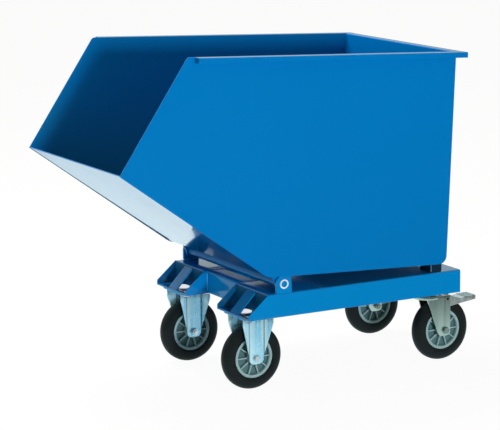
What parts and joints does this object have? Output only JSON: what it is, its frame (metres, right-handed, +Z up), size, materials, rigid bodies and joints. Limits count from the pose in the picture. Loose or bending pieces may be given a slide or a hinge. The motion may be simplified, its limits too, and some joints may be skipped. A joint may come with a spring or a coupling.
{
  "type": "tipping skip trolley",
  "caption": "Hand-pushed tipping skip trolley: open sheet-metal skip with a sloped pouring chute that tips forward on a low folded chassis with fixed front and braked swivel rear castors.",
  "frame": {"origin": "middle of the bounding box on the floor under the wheels", "axes": "+X to the rear (push handle end), the chute points to -X; +Y to the right as seen when pushing; +Z up"},
  "size_m": [1.2975, 0.6786, 1.0375],
  "materials": {
    "skip_paint": "glossy blue powder coat",
    "frame_paint": "glossy blue powder coat",
    "block_rubber": "matt black",
    "tyre_rubber": "charcoal solid tyre",
    "rim_plastic": "grey moulded plastic",
    "zinc_sheet": "bright zinc plate",
    "pedal_zinc": "zinc plate with a greenish passivation",
    "bright_steel": "bright steel",
    "plug_plastic": "white moulded plug"
  },
  "bodies": {
    "chassis": {"axle_front_left": "bright_steel", "axle_front_right": "bright_steel", "castor_bolts": "bright_steel", "castor_nuts": "bright_steel", "castor_tray_left": "frame_paint", "castor_tray_right": "frame_paint", "front_bracket_left": "zinc_sheet", "front_bracket_right": "zinc_sheet", "front_cross_member": "frame_paint", "kingpin_left": "bright_steel", "kingpin_right": "bright_steel", "pivot_bracket_left": "frame_paint", "pivot_bracket_right": "frame_paint", "pivot_bushes": "bright_steel", "pivot_washers": "bright_steel", "rail_end_plates": "frame_paint", "rail_left": "frame_paint", "rail_right": "frame_paint", "rear_castor_pad_left": "frame_paint", "rear_castor_pad_right": "frame_paint", "rear_cross_member": "frame_paint", "rest_block_left": "block_rubber", "rest_block_right": "block_rubber", "swivel_balls_left": "bright_steel", "swivel_balls_right": "bright_steel", "swivel_plate_left": "zinc_sheet", "swivel_plate_right": "zinc_sheet", "tray_plug_left": "plug_plastic", "tray_plug_right": "plug_plastic", "tray_strap_left": "frame_paint", "tray_strap_right": "frame_paint"},
    "skip": {"hinge_lug_left": "skip_paint", "hinge_lug_right": "skip_paint", "pivot_shaft": "bright_steel", "pivot_tube": "skip_paint", "push_handle": "skip_paint", "skip_side_left": "skip_paint", "skip_side_right": "skip_paint", "skip_trough": "skip_paint"},
    "wheel_front_left": {"tyre_front_left": "tyre_rubber", "rim_front_left": "rim_plastic", "hub_bush_front_left": "bright_steel"},
    "swivel_left": {"swivel_fork_left": "zinc_sheet", "axle_rear_left": "bright_steel", "brake_pin_left": "bright_steel"},
    "wheel_rear_left": {"tyre_rear_left": "tyre_rubber", "rim_rear_left": "rim_plastic", "hub_bush_rear_left": "bright_steel"},
    "pedal_left": {"brake_pedal_left": "pedal_zinc"},
    "wheel_front_right": {"tyre_front_right": "tyre_rubber", "rim_front_right": "rim_plastic", "hub_bush_front_right": "bright_steel"},
    "swivel_right": {"swivel_fork_right": "zinc_sheet", "axle_rear_right": "bright_steel", "brake_pin_right": "bright_steel"},
    "wheel_rear_right": {"tyre_rear_right": "tyre_rubber", "rim_rear_right": "rim_plastic", "hub_bush_rear_right": "bright_steel"},
    "pedal_right": {"brake_pedal_right": "pedal_zinc"}
  },
  "joints": [
    {"name": "skip_tip", "type": "hinge", "parent": "chassis", "child": "skip", "pos_m": [-0.1018, 0, 0.3356], "axis": [0, -1, 0], "range_deg": [0, 50]},
    {"name": "wheel_front_left_spin", "type": "hinge", "parent": "chassis", "child": "wheel_front_left", "pos_m": [-0.1616, -0.1991, 0.1], "axis": [0, 1, 0], "continuous": true},
    {"name": "swivel_left_turn", "type": "hinge", "parent": "chassis", "child": "swivel_left", "pos_m": [0.4757, -0.1991, 0.22], "axis": [0, 0, 1], "continuous": true},
    {"name": "wheel_rear_left_spin", "type": "hinge", "parent": "swivel_left", "child": "wheel_rear_left", "pos_m": [0.5277, -0.1991, 0.1], "axis": [0, 1, 0], "continuous": true},
    {"name": "pedal_left_press", "type": "hinge", "parent": "swivel_left", "child": "pedal_left", "pos_m": [0.5357, -0.1991, 0.201], "axis": [0, 1, 0], "range_deg": [0, 8]},
    {"name": "wheel_front_right_spin", "type": "hinge", "parent": "chassis", "child": "wheel_front_right", "pos_m": [-0.1616, 0.1991, 0.1], "axis": [0, 1, 0], "continuous": true},
    {"name": "swivel_right_turn", "type": "hinge", "parent": "chassis", "child": "swivel_right", "pos_m": [0.4757, 0.1991, 0.22], "axis": [0, 0, 1], "continuous": true},
    {"name": "wheel_rear_right_spin", "type": "hinge", "parent": "swivel_right", "child": "wheel_rear_right", "pos_m": [0.5277, 0.1991, 0.1], "axis": [0, 1, 0], "continuous": true},
    {"name": "pedal_right_press", "type": "hinge", "parent": "swivel_right", "child": "pedal_right", "pos_m": [0.5357, 0.1991, 0.201], "axis": [0, 1, 0], "range_deg": [0, 8]}
  ]
}
